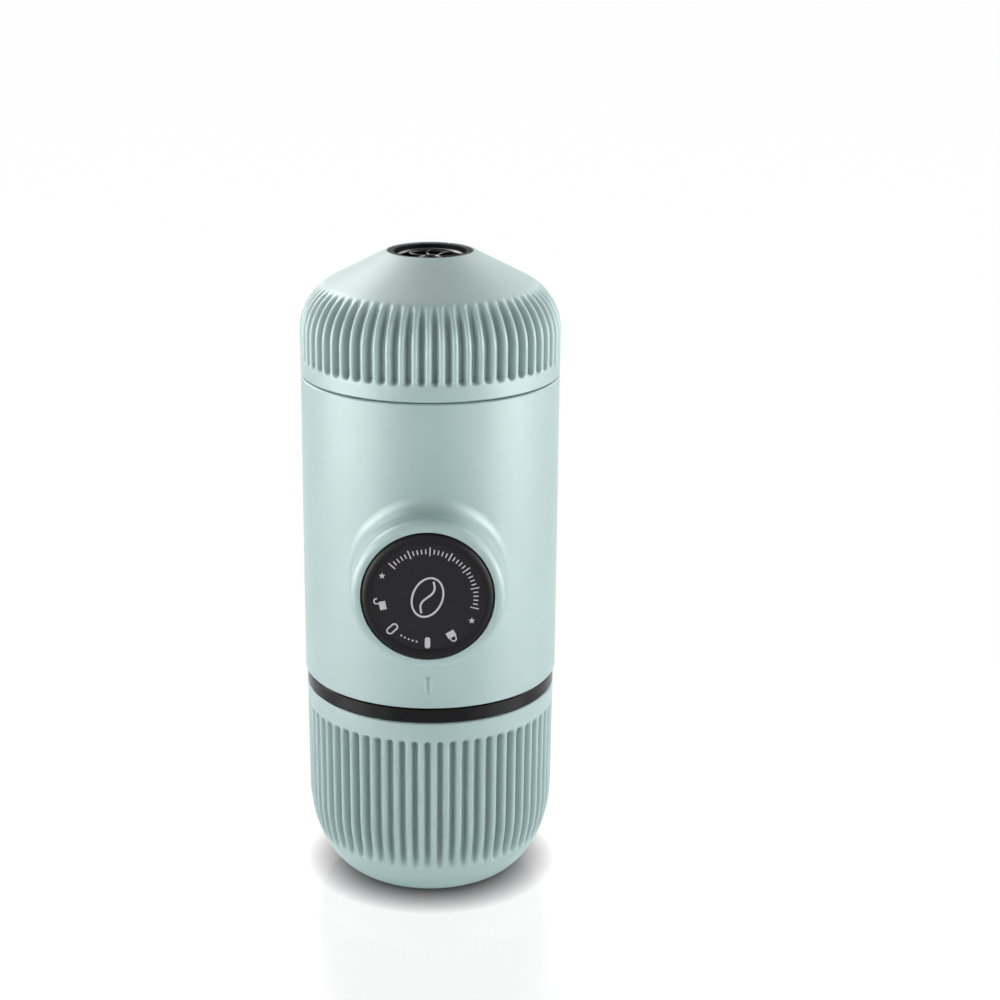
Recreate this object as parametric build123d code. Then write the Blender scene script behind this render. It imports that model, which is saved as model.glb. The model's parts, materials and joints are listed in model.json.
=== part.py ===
from build123d import *
import os
from math import asin, cos, degrees, hypot, radians, sin, sqrt, tan

# Handheld manual espresso maker. Millimetres, +Z up, front at -Y.
# The origin is the centre of the flat base that it stands on.

# ---------------------------------------------------------------- overall form
cup_height = 49.2  # base to the cup's rim
band_height = 4.0  # dark band of the water tank that shows above the cup
body_height = 73.5  # band to the seam under the head
head_height = 29.3  # seam to the rim of the spout
body_radius = 30.7
body_wall = 2.0
band_inset = 0.4  # the band and the cup's rim stand inside the body by this
seam_gap = 0.3  # shadow line between the body and the head
edge_break = 0.3  # chamfer on the edges beside the shadow lines

# ---------------------------------------------------------------- clearances
seat_gap = 0.1  # round pieces pressed or clipped together
slide_gap = 0.25  # round pieces that slide or turn in each other
bearing_gap = 0.05  # the piston, its rod and the knob's hub
thread_gap = 0.2  # between a threaded neck and its socket

# ---------------------------------------------------------------- grip grooves
groove_count = 62
groove_width = 2.2  # at the surface
groove_depth = 0.9
head_groove_start = 3.5  # above the seam
head_groove_end = 21.4  # above the seam, where the groove runs out on the shoulder
head_groove_phase = 1.9  # degrees
cup_groove_start = 4.2  # below the cup's rim
cup_groove_end = 9.8  # above the base, where the groove runs out
cup_groove_phase = -1.3  # degrees

# ---------------------------------------------------------------- cup
base_radius = 16.0  # flat that it stands on
corner_height = 22.4  # base to the top of the rounded corner
cup_draft = 0.2  # the side leans in by this below the rim
cup_wall = 2.0

# ---------------------------------------------------------------- water tank
tank_side_gap = 1.2  # cup to tank
tank_floor_gap = 1.2
tank_wall = 1.8
tank_rim_length = 6.0  # thick ring under the band that guides the cup
ring_drop = 2.2  # band to the groove of the cup's ring
ring_height = 1.8
ring_depth = 1.2
neck_height = 8.0  # threaded neck above the band
neck_wall = 2.0
gasket_thickness = 1.2

# ---------------------------------------------------------------- socket and chassis
lid_thickness = 3.0  # plate that closes the tank
ledge_thickness = 1.5  # ledge in the shell, clamped between socket and chassis
ledge_depth = 2.2
plate_thickness = 2.5  # chassis plate on the ledge
deck_thickness = 3.0
head_socket_depth = 5.2  # seam to the deck, room for the head's threaded skirt
group_rise = 2.8  # seam to the face that the basket sits on
post_radius = 3.0
post_inset = 4.6  # shell's ledge to the middle of a post
post_angles = (-27.2, 45.0)  # of the front and the rear pair, from the X axis
web_thickness = 3.0
web_setback = 1.0  # knob's skirt to the web
screw_radius = 1.25
screw_head_radius = 2.6
screw_head_height = 1.6
screw_length = 14.0

# ---------------------------------------------------------------- pump, reach is towards the front
pump_height = 31.1  # band to the pump's axis
stroke = 20.0
cylinder_wall = 2.5
cylinder_back = -10.0  # reach of the closed end
piston_end_gap = 0.8  # piston to the closed end
piston_play = 0.2  # piston to the bore, which the seals fill
seal_depth = 1.2
seal_width = 1.6
seal_land = 1.0  # piston's lands beside the seals
gland_gap = 0.5  # piston at full stroke to the gland
gland_length = 4.5
gland_flange = 1.5
rod_radius = 3.0
barrel_wall = 2.0
barrel_overlap = 3.5  # barrel's end in front of the end of the knob's skirt
spring_plate = 1.5
spring_wire = 1.2
spring_turns = 5

# ---------------------------------------------------------------- knob
knob_stand = 0.65  # knob's rim in front of the collar
knob_radius = 15.0
knob_roll = 1.4  # width of the rim's rolled edge
knob_roll_drop = 1.2
knob_dish = 0.25  # the dial lies inside its rim by this
knob_rim = 2.2  # width of the rim, with its roll
knob_face = 1.5  # thickness of the cap
knob_rim_wall = 1.35
knob_rim_length = 4.8
knob_hub_drop = 1.6  # cap's inside to the skirt's web, room for the clip
knob_web = 2.0
skirt_wall = 2.7
skirt_step = 0.15  # the skirt stands inside the cap's edge by this
skirt_hold = 3.7  # length of the skirt that is still in the collar at full stroke
lock_room = 1.3  # barrel to the skirt, with the lock's lugs between them
collar_stand = 8.95  # collar's face in front of the body's side
collar_wall = 2.45
sleeve_overhang = 1.5  # guide sleeve behind the end of the skirt
collar_blend = 3.5
collar_edge = 2.0  # rounding of the collar's face
collar_line_drop = 2.9  # collar's face to the shadow line round it
collar_line = 0.2
clip_thickness = 0.6
clip_groove = 0.6
clip_radius = 4.8
clip_mouth = 3.6
rod_end_gap = 0.3
lug_count = 3
lug_angle = 30.0
lug_length = 1.5
lug_height = 0.6
lug_gap = 0.15
mark_height = 4.5  # index mark under the knob
mark_width = 2.0
mark_depth = 0.6
mark_taper = 55.0  # degrees, of the mark's flanks
mark_centre = 6.15  # band to the middle of the mark

# ---------------------------------------------------------------- valves
valve_wall = 0.9  # cylinder's closed end to the valves' bore
valve_bore = 2.6
column_width = 12.0
column_wall = 3.9  # behind the valves
port_radius = 1.8
inlet_drop = 14.3  # pump's axis down to the inlet valve
outlet_rise = 5.7  # pump's axis up to the outlet valve
seat_height = 2.5
seat_bore = 1.2
poppet_radius = 2.35
poppet_height = 1.0
poppet_flute = 0.7
stem_radius = 0.8
stem_length = 2.5
valve_spring_radius = 2.1
valve_spring_wire = 0.35
valve_spring_height = 4.0
valve_spring_turns = 3
retainer_height = 2.0
tube_radius = 2.5
tube_wall = 0.7
strainer_wall = 0.9
strainer_height = 6.0
strainer_step = 2.0  # strainer's floor to the end of the tube
strainer_slot = 1.0
strainer_lift = 1.2  # tank's floor to the strainer
vent_inset = 7.1  # tank's inside to the middle of the vent, at the front
vent_stem = 1.6
vent_flap = 3.6
vent_flap_thickness = 0.6
vent_button = 2.2
vent_button_height = 1.2

# ---------------------------------------------------------------- group and head
head_skirt_wall = 1.6  # threaded skirt of the head, outside the group's neck
group_seal_width = 3.0
group_seal_depth = 2.0
screen_inset = 3.0  # group's seal to the shower screen
screen_drop = 1.5
screen_thickness = 0.6
screen_ledge = 1.1
screen_boss = 3.0
screen_screw_length = 8.0
plenum_depth = 1.2
hole_radius = 0.9
hole_ring_pitch = 6.0
hole_rings = 2
basket_end_gap = 0.4  # edge of the basket's floor to the cone over it
basket_wall = 0.5
basket_corner = 1.2
flange_width = 3.3  # of the basket's flange outside the well
flange_thickness = 0.8
head_gasket_thickness = 1.2
scoop_gap = 0.7  # scoop to the basket round it
scoop_end_gap = 0.6
scoop_wall = 1.2
scoop_corner = 1.0
head_slope = 27.6  # degrees, of the cone below the spout
shoulder_radius = 12.7
spout_radius = 10.1  # opening in the top of the head
head_fit = 0.2  # head shell to the moulding in it
portafilter_wall = 1.5
portafilter_deck = 2.0
portafilter_end_gap = 0.5  # portafilter's skirt to the deck
seat_ring_wall = 1.5  # ring that centres the basket
seat_ring_height = 1.5
seat_ring_inset = 1.9  # threaded skirt to the ring, room for the thread's turns
well_wall = 1.6
basket_gap = 0.5  # basket to the well round it
spout_wall = 1.4
spout_drop = 0.3  # head's rim to the end of the spout's tube
spout_floor_drop = 3.6  # head's rim to the floor of the spout
outlet_radius = 1.6
insert_height = 2.5
insert_wall = 1.4
hub_inner = 1.8
hub_outer = 2.8
fin_count = 8
fin_thickness = 0.5
fin_height = 2.0
fin_bow = 0.9

# ---------------------------------------------------------------- radii
band_radius = body_radius - band_inset
body_bore = body_radius - body_wall
chassis_radius = body_bore - seat_gap
ledge_radius = body_bore - ledge_depth
post_circle = ledge_radius - post_inset
cup_side = band_radius - cup_draft
cup_inside = cup_side - cup_wall
tank_side = cup_inside - tank_side_gap
tank_inside = tank_side - tank_wall
tank_rim = cup_inside - slide_gap
neck_radius = tank_inside + neck_wall
vent_offset = tank_inside - vent_inset
vent_hole = vent_flap + seat_gap
skirt_outer = knob_radius - skirt_step
skirt_inner = skirt_outer - skirt_wall
barrel_radius = skirt_inner - lock_room
barrel_bore = barrel_radius - barrel_wall
cylinder_radius = barrel_bore - seat_gap
bore_radius = cylinder_radius - cylinder_wall
cap_bore = knob_radius - knob_rim_wall
collar_bore = knob_radius + slide_gap
collar_radius = collar_bore + collar_wall
head_skirt_outer = body_bore - head_fit
head_skirt_inner = head_skirt_outer - head_skirt_wall
group_radius = head_skirt_inner - thread_gap
seat_ring_bore = head_skirt_inner - seat_ring_inset - seat_ring_wall
flange_radius = seat_ring_bore - thread_gap
well_radius = flange_radius - flange_width
group_seal_outer = seat_ring_bore
group_seal_inner = group_seal_outer - group_seal_width
screen_radius = group_seal_inner - screen_inset
basket_radius = well_radius - basket_gap
basket_inside = basket_radius - basket_wall
scoop_radius = basket_inside - scoop_gap
spout_outer = spout_radius - seat_gap
spout_inner = spout_outer - spout_wall

# ---------------------------------------------------------------- levels
z_band = cup_height
z_body = z_band + band_height
z_seam = z_body + body_height
z_top = z_seam + head_height
z_pump = z_body + pump_height
z_ring_top = z_band - ring_drop
z_ring = z_ring_top - ring_height
z_tank_floor = cup_wall + tank_floor_gap + tank_wall
z_strainer = z_tank_floor + strainer_lift
z_neck = z_body + neck_height
z_lid = z_neck + gasket_thickness
z_lid_top = z_lid + lid_thickness
z_plate = z_lid_top + ledge_thickness
z_plate_top = z_plate + plate_thickness
z_deck_top = z_seam - head_socket_depth
z_deck = z_deck_top - deck_thickness
z_group = z_seam + group_rise
z_screen = z_group - screen_drop
z_plenum = z_screen - plenum_depth
z_flange_top = z_group + flange_thickness
z_head_deck = z_flange_top + head_gasket_thickness
cone_fall = (basket_radius - spout_radius) * tan(radians(head_slope))
cone_wall = (body_wall + head_fit + portafilter_wall) / cos(radians(head_slope))
z_basket_top = z_top - cone_fall - cone_wall - basket_end_gap
z_scoop_top = z_basket_top - basket_wall - scoop_end_gap
z_spout_floor = z_top - spout_floor_drop
z_inlet = z_pump - inlet_drop
z_outlet = z_pump + outlet_rise
valve_room = seat_height + poppet_height + valve_spring_height

# ---------------------------------------------------------------- reaches along the pump
collar_reach = body_radius + collar_stand
knob_reach = collar_reach + knob_stand
skirt_end = collar_reach - skirt_hold - stroke
sleeve_end = skirt_end - sleeve_overhang
barrel_reach = skirt_end + barrel_overlap
valve_offset = -cylinder_back + valve_wall + valve_bore
piston_back = cylinder_back + piston_end_gap
piston_front = piston_back + 2 * seal_width + 3 * seal_land
gland_back = piston_front + stroke + gland_gap
cylinder_front = gland_back + gland_length
cap_inside = knob_reach - knob_face
hub_front = cap_inside - knob_hub_drop
hub_back = hub_front - knob_web
plate_front = hub_back - bearing_gap
plate_back = plate_front - spring_plate
clip_back = hub_front + bearing_gap
cap_edge = knob_reach - knob_rim_length


# ---------------------------------------------------------------- shared forms
def panel(inner, outer, low, high):
    """Rectangle of a half section, from an inner to an outer radius and between two heights."""
    return Pos((inner + outer) / 2, (low + high) / 2) * Rectangle(outer - inner, high - low)


def turned(section):
    """Solid of revolution about Z of a half section drawn as (radius, height)."""
    return revolve(Plane.XZ * section, Axis.Z)


def ring(inner, outer, low, high):
    """Plain tube or washer about Z."""
    return turned(panel(inner, outer, low, high))


def rod(radius, low, high, x=0, y=0):
    """Round bar along Z."""
    return Pos(x, y, (low + high) / 2) * Cylinder(radius, high - low)


def corner_of(section, radius, height):
    """Vertex of a section that lies nearest to a radius and a height."""
    return min(section.vertices(), key=lambda v: hypot(v.X - radius, v.Y - height))


def on_pump(shape):
    """Carries a shape drawn about Z onto the pump's axis, where its Z is the reach to the front."""
    return Pos(0, 0, z_pump) * Rot(90, 0, 0) * shape


def at_valves(shape):
    """Carries a shape drawn about Z to the valve column."""
    return Pos(0, valve_offset, 0) * shape


def coil(mean_radius, wire, low, high, turns):
    """Compression spring of square wire about Z."""
    rise = high - low - wire
    path = Helix(rise / turns, rise, mean_radius)
    section = Plane(path @ 0, x_dir=(1, 0, 0), z_dir=path % 0) * Rectangle(wire, wire)
    return Pos(0, 0, low + wire / 2) * sweep(section, path, is_frenet=True)


def bowl_section(side, rim, floor, top):
    """Half section of a bowl's solid form, with a flat floor and a quarter-ellipse corner."""
    corner = EllipticalCenterArc(
        (base_radius, corner_height), side - base_radius, corner_height - floor, 270, arc_size=90
    )
    outline = Polyline((side, corner_height), (rim, top), (0, top), (0, floor), (base_radius, floor))
    return make_face(corner + outline)


def head_corner(depth):
    """Height where the head's side would meet its cone, both set in from the surface by a depth."""
    cone = radians(head_slope)
    return z_top - (body_radius - depth - spout_radius) * tan(cone) - depth / cos(cone)


def head_section(depth):
    """Half section of the head's solid form, set in from the outer surface by a depth."""
    side = body_radius - depth
    corner = head_corner(depth)
    crown = corner + side * tan(radians(head_slope))
    form = make_face(Polyline((0, z_deck), (side, z_deck), (side, corner), (0, crown), close=True))
    return fillet(corner_of(form, side, corner), shoulder_radius - depth)


def grooves(floor, start, bend, fade_radius, fade, phase):
    """Cutters for the grip's grooves, each a V with its apex at the floor's radius.

    Each has a rounded end at the start, runs straight to the bend, then curves in until its
    floor comes out of the surface at the fade point.
    """
    reach = 2 * groove_depth
    rounding = sqrt(reach**2 - (reach - groove_depth) ** 2)
    flank = groove_width / 2 / groove_depth * reach
    vee = make_face(Polyline((floor, 0), (floor + reach, flank), (floor + reach, -flank), close=True))
    up = 1 if fade > start else -1
    rise = abs(fade - bend)
    inset = floor - fade_radius
    curve = (rise**2 + inset**2) / (2 * inset)
    turn = 1.25 * degrees(asin(rise / curve))
    straight = start + up * rounding
    hinge = (0, -up, 0)
    cutter = extrude(Pos(0, 0, straight) * vee, (bend - straight) * up, dir=(0, 0, up))
    cutter += revolve(Pos(0, 0, bend) * vee, Axis((floor - curve, 0, bend), hinge), turn)
    cutter += revolve(Pos(0, 0, straight) * vee, Axis((floor + reach, 0, straight), hinge), 90)
    return [Rot(0, 0, phase - 90 + 360 / groove_count * i) * cutter for i in range(groove_count)]


def lugs(inner, outer, low, high):
    """Ring of lugs about Z for the lock between the knob and the barrel."""
    side = 2 * outer * tan(radians(lug_angle / 2))
    sector = make_face(Polyline((0, 0), (2 * outer, -side), (2 * outer, side), close=True))
    sector = extrude(Pos(0, 0, low) * sector, high - low)
    lug = ring(inner, outer, low, high) & sector
    return [Rot(0, 0, 360 / lug_count * i) * lug for i in range(lug_count)]


def hole_places():
    """Centres of the holes in the shower screen and the basket, ring by ring."""
    places = []
    for number in range(1, hole_rings + 1):
        places += [p.position for p in PolarLocations(number * hole_ring_pitch, 6 * number).locations]
    return places


def post_places():
    """Centres of the four posts, a front pair and a rear pair."""
    angles = [radians(a) for a in post_angles]
    return [(side * post_circle * cos(a), post_circle * sin(a)) for a in angles for side in (-1, 1)]


# ---------------------------------------------------------------- cup and tank
def make_cup():
    """Grooved drinking cup that closes the bottom end."""
    outside = bowl_section(cup_side, band_radius, 0, z_band)
    inside = bowl_section(cup_inside, cup_inside + cup_draft, cup_wall, z_band)
    outside = chamfer(corner_of(outside, band_radius, z_band), edge_break)
    fade = (corner_height - cup_groove_end) / corner_height
    fade_radius = base_radius + (cup_side - base_radius) * sqrt(1 - fade**2)
    floor = cup_side - groove_depth
    start = z_band - cup_groove_start
    cutters = grooves(floor, start, corner_height, fade_radius, cup_groove_end, cup_groove_phase)
    return turned(outside - inside).cut(*cutters)


def make_water_tank():
    """Open tank with the band that shows, the rim that guides the cup and the threaded neck."""
    section = bowl_section(tank_side, tank_side, cup_wall + tank_floor_gap, z_band)
    section += panel(0, tank_rim, z_band - tank_rim_length, z_band)
    section += panel(0, band_radius, z_band, z_body)
    section += panel(0, neck_radius, z_body, z_neck)
    section -= panel(tank_rim - ring_depth, tank_rim, z_ring, z_ring_top)
    section -= bowl_section(tank_inside, tank_inside, z_tank_floor, z_neck)
    return turned(section)


def make_cup_o_ring():
    """Ring that holds the cup on the tank by friction."""
    return ring(tank_rim - ring_depth, cup_inside - bearing_gap, z_ring, z_ring_top)


def make_tank_gasket():
    """Flat ring on the end of the tank's neck."""
    return ring(tank_inside, neck_radius, z_neck, z_lid)


def make_suction_tube():
    """Tube from the inlet valve down to the strainer near the tank's floor."""
    return at_valves(ring(tube_radius - tube_wall, tube_radius, z_strainer + strainer_step, z_inlet))


def make_intake_strainer():
    """Slotted cup on the end of the suction tube."""
    bore = tube_radius + seat_gap / 2
    strainer = rod(bore + strainer_wall, z_strainer, z_strainer + strainer_height)
    strainer -= rod(bore, z_strainer + strainer_step, z_strainer + strainer_height)
    strainer -= rod(tube_radius - tube_wall, z_strainer + strainer_wall, z_strainer + strainer_step)
    slot = Box(strainer_slot, 4 * bore, strainer_slot)
    for turn in (0, 90):
        place = Pos(0, 0, z_strainer + strainer_wall + strainer_slot / 2) * Rot(0, 0, turn)
        strainer -= place * slot
    return at_valves(strainer)


# ---------------------------------------------------------------- body
def make_tank_socket():
    """Threaded skirt and lid that the tank screws into."""
    section = panel(neck_radius + thread_gap, chassis_radius, z_body, z_lid)
    section += panel(0, chassis_radius, z_lid, z_lid_top)
    socket = turned(section)
    socket -= at_valves(rod(tube_radius + seat_gap, z_lid, z_lid_top))
    socket -= rod(vent_stem, z_lid, z_lid_top, 0, -vent_offset)
    for x, y in post_places():
        socket -= rod(screw_head_radius + seat_gap, z_lid, z_lid + screw_head_height, x, y)
        socket -= rod(screw_radius + seat_gap, z_lid, z_lid_top, x, y)
    return socket


def make_air_vent_valve():
    """Umbrella valve that lets air into the tank as the water leaves."""
    section = panel(0, vent_flap, z_lid - vent_flap_thickness, z_lid)
    section += panel(0, vent_stem - seat_gap / 2, z_lid, z_lid_top)
    section += panel(0, vent_button, z_lid_top, z_lid_top + vent_button_height)
    return Pos(0, -vent_offset, 0) * turned(section)


def make_chassis_screws():
    """Four pan-head screws, driven up through the lid into the posts."""
    screws = []
    for x, y in post_places():
        head = rod(screw_head_radius, z_lid, z_lid + screw_head_height, x, y)
        screws.append(head + rod(screw_radius, z_lid, z_lid + screw_length, x, y))
    return Compound(children=screws)


def make_body_shell():
    """Outer shell with the knob's collar blended into it and a ledge inside for the chassis."""
    section = panel(0, body_radius, z_body, z_seam)
    section = chamfer(corner_of(section, body_radius, z_body), edge_break)
    section = chamfer(corner_of(section, body_radius, z_seam), edge_break)
    shell = turned(section) + on_pump(rod(collar_radius, 0, collar_reach))
    root = [e for e in shell.edges() if e.geom_type != GeomType.CIRCLE and e.length > collar_radius]
    root = [e for e in root if e.center().Y < -collar_radius / 2]
    shell = fillet(root, collar_blend)
    shell = fillet(shell.edges().sort_by(Axis.Y)[0], collar_edge)
    shell -= rod(body_bore, z_body, z_seam)
    shell -= on_pump(rod(collar_bore, 0, collar_reach))
    line = collar_reach - collar_line_drop
    shell -= on_pump(ring(collar_radius - collar_line, collar_radius, line - collar_line, line))
    shell += ring(ledge_radius, body_bore, z_lid_top, z_plate)
    mark = Plane.XZ.offset(body_radius) * SlotOverall(mark_height, mark_width, 90)
    shell -= Pos(0, 0, z_body + mark_centre) * extrude(mark, -mark_depth, taper=mark_taper)
    return shell


def make_pump_chassis():
    """Inner moulding that carries the pump, the valves and the neck under the head."""
    section = panel(0, ledge_radius - seat_gap, z_lid_top, z_plate)
    section += panel(0, chassis_radius, z_plate, z_plate_top)
    section += panel(0, chassis_radius, z_deck, z_deck_top)
    section += panel(0, group_radius, z_deck_top, z_group)
    section -= panel(group_seal_inner, group_seal_outer, z_group - group_seal_depth, z_group)
    section -= panel(0, screen_radius, z_screen, z_group)
    section -= panel(screen_boss, screen_radius - screen_ledge, z_plenum, z_screen)
    chassis = turned(section)
    sleeve = on_pump(rod(collar_radius, sleeve_end, chassis_radius))
    chassis += sleeve & rod(chassis_radius, z_plate, z_deck)
    for x, y in post_places():
        chassis += rod(post_radius, z_plate_top, z_deck, x, y)
    chassis -= on_pump(rod(collar_bore, sleeve_end, chassis_radius))
    storey = z_deck - z_plate_top
    middle = (z_plate_top + z_deck) / 2
    column_front = -cylinder_back
    column_back = valve_offset + valve_bore + column_wall
    column = Box(column_width, column_back - column_front, storey)
    chassis += Pos(0, (column_front + column_back) / 2, middle) * column
    web_front = web_setback - skirt_end
    web = Box(web_thickness, column_front - web_front, storey)
    chassis += Pos(0, (column_front + web_front) / 2, middle) * web
    chassis += on_pump(rod(barrel_radius, cylinder_back, barrel_reach))
    lug_back = skirt_end + lug_length + seat_gap
    for lug in lugs(barrel_bore, barrel_radius + lug_height, lug_back, barrel_reach):
        chassis += on_pump(lug)
    chassis -= on_pump(rod(barrel_bore, cylinder_back, barrel_reach))
    chassis -= on_pump(rod(port_radius, -valve_offset, cylinder_back))
    chassis -= at_valves(rod(valve_bore, z_lid_top, z_inlet + valve_room))
    chassis -= at_valves(rod(port_radius, z_inlet, z_outlet))
    chassis -= at_valves(rod(valve_bore, z_outlet, z_plenum))
    chassis -= rod(vent_hole, z_lid_top, z_plate_top, 0, -vent_offset)
    for x, y in post_places():
        chassis -= rod(screw_radius, z_lid_top, z_lid + screw_length, x, y)
    chassis -= rod(screw_radius, z_screen - screen_screw_length, z_screen)
    return chassis


# ---------------------------------------------------------------- pump
def make_pump_cylinder():
    """Liner that the piston runs in."""
    return on_pump(ring(bore_radius, cylinder_radius, cylinder_back, cylinder_front))


def make_cylinder_gland():
    """Flanged bush in the cylinder's mouth that guides the rod."""
    hole = rod_radius + bearing_gap
    section = panel(hole, bore_radius - seat_gap / 2, gland_back, cylinder_front)
    section += panel(hole, cylinder_radius, cylinder_front, cylinder_front + gland_flange)
    return on_pump(turned(section))


def make_piston_rod():
    """Piston, rod and spring plate in one, with the clip's groove near its front end."""
    section = panel(0, bore_radius - piston_play, piston_back, piston_front)
    for back in (piston_back + seal_land, piston_front - seal_land - seal_width):
        section -= panel(bore_radius - bearing_gap - seal_depth, bore_radius, back, back + seal_width)
    section += panel(0, rod_radius, piston_front, cap_inside - rod_end_gap)
    section += panel(0, skirt_inner - slide_gap, plate_back, plate_front)
    section -= panel(rod_radius - clip_groove, rod_radius, clip_back, clip_back + clip_thickness)
    return on_pump(turned(section))


def make_piston_seals():
    """Two seal rings in the piston's grooves."""
    outer = bore_radius - bearing_gap
    backs = (piston_back + seal_land, piston_front - seal_land - seal_width)
    rings = [on_pump(ring(outer - seal_depth, outer, back, back + seal_width)) for back in backs]
    return Compound(children=rings)


def make_return_spring():
    """Spring between the barrel and the spring plate, shown with the knob pushed in."""
    mean = (cylinder_radius + skirt_inner) / 2
    return on_pump(coil(mean, spring_wire, barrel_reach, plate_back, spring_turns))


def make_knob_clip():
    """Open clip that holds the knob's hub on the rod and lets it turn."""
    clip = ring(rod_radius - clip_groove, clip_radius, clip_back, clip_back + clip_thickness)
    mouth = Box(clip_mouth, 2 * clip_radius, 2 * clip_thickness)
    clip -= Pos(0, clip_radius, clip_back + clip_thickness / 2) * mouth
    return on_pump(clip)


def make_knob_skirt():
    """Sleeve behind the knob's cap, with a web that turns on the rod and the lock's lugs."""
    spigot = cap_bore - seat_gap
    section = panel(skirt_inner, skirt_outer, skirt_end, cap_edge)
    section += panel(skirt_inner, spigot, hub_back, cap_inside)
    section += panel(rod_radius + bearing_gap, spigot, hub_back, hub_front)
    skirt = turned(section)
    inner = barrel_radius + lug_height + lug_gap
    for lug in lugs(inner, skirt_inner + skirt_wall / 2, skirt_end, skirt_end + lug_length):
        skirt += lug
    return on_pump(skirt)


def make_knob_cap():
    """Round cap that the hand pushes, its dial inside a rolled rim."""
    flat = knob_radius - knob_roll
    low = knob_reach - knob_roll_drop
    roll = EllipticalCenterArc((flat, low), knob_roll, knob_roll_drop, 0, arc_size=90)
    edge = Polyline((flat, knob_reach), (0, knob_reach), (0, cap_edge), (knob_radius, cap_edge), (knob_radius, low))
    outside = make_face(roll + edge)
    outside -= panel(0, knob_radius - knob_rim, knob_reach - knob_dish, knob_reach)
    return on_pump(turned(outside - panel(0, cap_bore, cap_edge, cap_inside)))


# ---------------------------------------------------------------- valves
def make_valve_seat(level):
    """Bush whose upper face the poppet closes on."""
    return at_valves(ring(seat_bore, valve_bore - bearing_gap, level, level + seat_height))


def make_valve_poppet(level):
    """Fluted disc with a guide stem, resting on its seat."""
    low = level + seat_height
    poppet = rod(poppet_radius, low, low + poppet_height)
    for place in PolarLocations(poppet_radius, 3).locations:
        poppet -= rod(poppet_flute, low, low + poppet_height, place.position.X, place.position.Y)
    poppet += rod(stem_radius, low + poppet_height, low + poppet_height + stem_length)
    return at_valves(poppet)


def make_valve_spring(level):
    """Light spring over the poppet."""
    low = level + seat_height + poppet_height
    high = level + valve_room
    return at_valves(coil(valve_spring_radius, valve_spring_wire, low, high, valve_spring_turns))


def make_outlet_spring_retainer():
    """Bush pressed in over the outlet spring."""
    low = z_outlet + valve_room
    return at_valves(ring(port_radius, valve_bore - bearing_gap, low, low + retainer_height))


# ---------------------------------------------------------------- group
def make_shower_screen():
    """Perforated disc that spreads the water over the coffee."""
    screen = rod(screen_radius - seat_gap, z_screen, z_screen + screen_thickness)
    screen -= rod(screw_radius + seat_gap, z_screen, z_screen + screen_thickness)
    for place in hole_places():
        screen -= rod(hole_radius, z_screen, z_screen + screen_thickness, place.X, place.Y)
    return screen


def make_screen_screw():
    """Screw in the middle of the shower screen, flush with the group's face."""
    shank = rod(screw_radius, z_screen - screen_screw_length, z_screen + screen_thickness)
    return shank + rod(screw_head_radius, z_screen + screen_thickness, z_group)


def make_shower_seal():
    """Seal ring in the group's face, under the basket's flange."""
    gap = seat_gap / 2
    low = z_group - group_seal_depth
    return ring(group_seal_inner + gap, group_seal_outer - gap, low, z_group)


def make_scoop():
    """Dosing scoop and tamper, stored mouth down inside the basket."""
    section = panel(0, scoop_radius, z_group, z_scoop_top)
    section = fillet(corner_of(section, scoop_radius, z_scoop_top), scoop_corner)
    inside = panel(0, scoop_radius - scoop_wall, z_group, z_scoop_top - scoop_wall)
    return turned(section - inside)


def make_filter_basket():
    """Flanged steel basket, mouth down, with its perforated floor under the spout."""
    outside = panel(0, basket_radius, z_group, z_basket_top)
    outside = fillet(corner_of(outside, basket_radius, z_basket_top), basket_corner)
    floor = z_basket_top - basket_wall
    inside = panel(0, basket_inside, z_group, floor)
    inside = fillet(corner_of(inside, basket_inside, floor), basket_corner - basket_wall)
    section = outside + panel(0, flange_radius, z_group, z_flange_top) - inside
    basket = turned(section)
    basket -= rod(hole_radius, floor, z_basket_top)
    for place in hole_places():
        basket -= rod(hole_radius, floor, z_basket_top, place.X, place.Y)
    return basket


def make_head_gasket():
    """Ring between the basket's flange and the head."""
    return ring(well_radius, flange_radius, z_flange_top, z_head_deck)


# ---------------------------------------------------------------- head
def make_portafilter():
    """Inner moulding of the head: threaded skirt, well for the basket and spout."""
    depth = body_wall + head_fit
    form = head_section(depth)
    deck_top = z_head_deck + portafilter_deck
    section = panel(head_skirt_inner, head_skirt_outer, z_deck_top + portafilter_end_gap, deck_top)
    section += panel(well_radius, head_skirt_outer, z_head_deck, deck_top)
    ring_low = z_head_deck - seat_ring_height
    section += panel(seat_ring_bore, seat_ring_bore + seat_ring_wall, ring_low, z_head_deck)
    well = panel(well_radius, well_radius + well_wall, z_head_deck, z_top)
    cone = panel(spout_inner, well_radius + well_wall, deck_top, z_top)
    cone -= head_section(depth + portafilter_wall)
    floor = panel(outlet_radius, well_radius, z_spout_floor - portafilter_wall, z_spout_floor)
    section += (well + cone + floor) & form
    section += panel(spout_inner, spout_outer, z_spout_floor, z_top - spout_drop)
    section -= panel(0, spout_inner, z_spout_floor, z_top)
    return turned(section)


def make_spout_insert():
    """Finned ring in the spout that gathers the coffee."""
    outer = spout_inner - seat_gap
    inner = outer - insert_wall
    insert = ring(inner, outer, z_spout_floor, z_spout_floor + insert_height)
    insert += ring(hub_inner, hub_outer, z_spout_floor, z_spout_floor + fin_height)
    root = hub_outer - fin_thickness / 2
    tip = inner + fin_thickness / 2
    bow = ThreePointArc((root, 0), ((root + tip) / 2, fin_bow), (tip, 0))
    fin = extrude(Pos(0, 0, z_spout_floor) * trace(bow, fin_thickness), fin_height)
    for i in range(fin_count):
        insert += Rot(0, 0, 360 / fin_count * i) * fin
    return insert


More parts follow.
